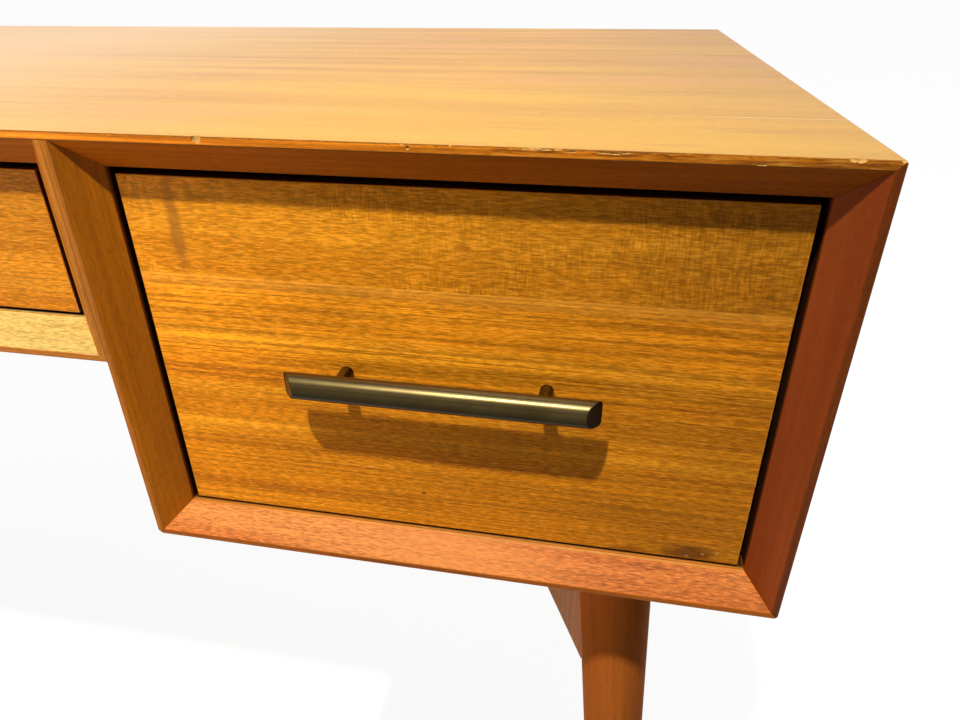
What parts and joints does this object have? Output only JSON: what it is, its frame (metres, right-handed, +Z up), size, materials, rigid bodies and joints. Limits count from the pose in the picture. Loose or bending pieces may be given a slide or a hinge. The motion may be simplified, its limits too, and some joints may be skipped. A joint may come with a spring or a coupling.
{
  "type": "sewing desk",
  "caption": "Mid-century style sewing desk with bevelled frames round inset drawers, bar pulls, ball slides and splayed round tapered legs with knee brackets.",
  "frame": {"origin": "on the floor, under the middle of the desk's box, pulls included", "axes": "+X to the sitter's right along the width, +Y from the drawer fronts to the back, +Z up"},
  "size_m": [1.32, 0.6178, 0.762],
  "materials": {
    "case_wood": "satin lacquer over honey brown stain",
    "front_veneer": "satin lacquer over figured veneer",
    "leg_wood": "satin lacquer, turned",
    "box_wood": "clear sealed pale hardwood",
    "back_ply": "stained plywood",
    "dark_bronze": "satin, dark antiqued",
    "zinc_steel": "bright zinc plate",
    "nylon": "moulded brown nylon"
  },
  "bodies": {
    "case": {"back_left_leg": "leg_wood", "back_right_leg": "leg_wood", "centre_back": "back_ply", "centre_bottom": "case_wood", "centre_case_rails": "zinc_steel", "centre_left_cheek": "case_wood", "centre_right_cheek": "case_wood", "foot_glides": "nylon", "front_left_leg": "leg_wood", "front_right_leg": "leg_wood", "left_back": "back_ply", "left_bottom": "case_wood", "left_case_rails": "zinc_steel", "left_inner_side": "case_wood", "left_knee_brackets": "leg_wood", "left_leg_rail": "leg_wood", "left_side": "case_wood", "leg_bolts": "zinc_steel", "right_back": "back_ply", "right_bottom": "case_wood", "right_case_rails": "zinc_steel", "right_inner_side": "case_wood", "right_knee_brackets": "leg_wood", "right_leg_rail": "leg_wood", "right_side": "case_wood", "top": "case_wood"},
    "right_drawer": {"right_drawer_box_back": "box_wood", "right_drawer_box_front": "box_wood", "right_drawer_floor": "box_wood", "right_drawer_front": "front_veneer", "right_drawer_left_wall": "box_wood", "right_drawer_rails": "zinc_steel", "right_drawer_right_wall": "box_wood", "right_pull_bar": "dark_bronze", "right_pull_posts": "dark_bronze", "right_pull_screws": "zinc_steel"},
    "right_ball_cages": {"right_ball_cages": "zinc_steel"},
    "left_drawer": {"left_drawer_box_back": "box_wood", "left_drawer_box_front": "box_wood", "left_drawer_floor": "box_wood", "left_drawer_front": "front_veneer", "left_drawer_left_wall": "box_wood", "left_drawer_rails": "zinc_steel", "left_drawer_right_wall": "box_wood", "left_pull_bar": "dark_bronze", "left_pull_posts": "dark_bronze", "left_pull_screws": "zinc_steel"},
    "left_ball_cages": {"left_ball_cages": "zinc_steel"},
    "centre_drawer": {"centre_drawer_box_back": "box_wood", "centre_drawer_box_front": "box_wood", "centre_drawer_floor": "box_wood", "centre_drawer_front": "front_veneer", "centre_drawer_left_wall": "box_wood", "centre_drawer_rails": "zinc_steel", "centre_drawer_right_wall": "box_wood", "centre_pull_bar": "dark_bronze", "centre_pull_posts": "dark_bronze", "centre_pull_screws": "zinc_steel"},
    "centre_ball_cages": {"centre_ball_cages": "zinc_steel"}
  },
  "joints": [
    {"name": "right_drawer_slide", "type": "slide", "parent": "case", "child": "right_drawer", "axis": [0, -1, 0], "range_m": [0, 0.35]},
    {"name": "right_cage_roll", "type": "slide", "parent": "case", "child": "right_ball_cages", "axis": [0, -1, 0], "range_m": [0, 0.175]},
    {"name": "left_drawer_slide", "type": "slide", "parent": "case", "child": "left_drawer", "axis": [0, -1, 0], "range_m": [0, 0.35]},
    {"name": "left_cage_roll", "type": "slide", "parent": "case", "child": "left_ball_cages", "axis": [0, -1, 0], "range_m": [0, 0.175]},
    {"name": "centre_drawer_slide", "type": "slide", "parent": "case", "child": "centre_drawer", "axis": [0, -1, 0], "range_m": [0, 0.35]},
    {"name": "centre_cage_roll", "type": "slide", "parent": "case", "child": "centre_ball_cages", "axis": [0, -1, 0], "range_m": [0, 0.175]}
  ],
  "couplings": [
    {"joint": "right_cage_roll", "follows": "right_drawer_slide", "ratio": 0.5},
    {"joint": "left_cage_roll", "follows": "left_drawer_slide", "ratio": 0.5},
    {"joint": "centre_cage_roll", "follows": "centre_drawer_slide", "ratio": 0.5}
  ]
}
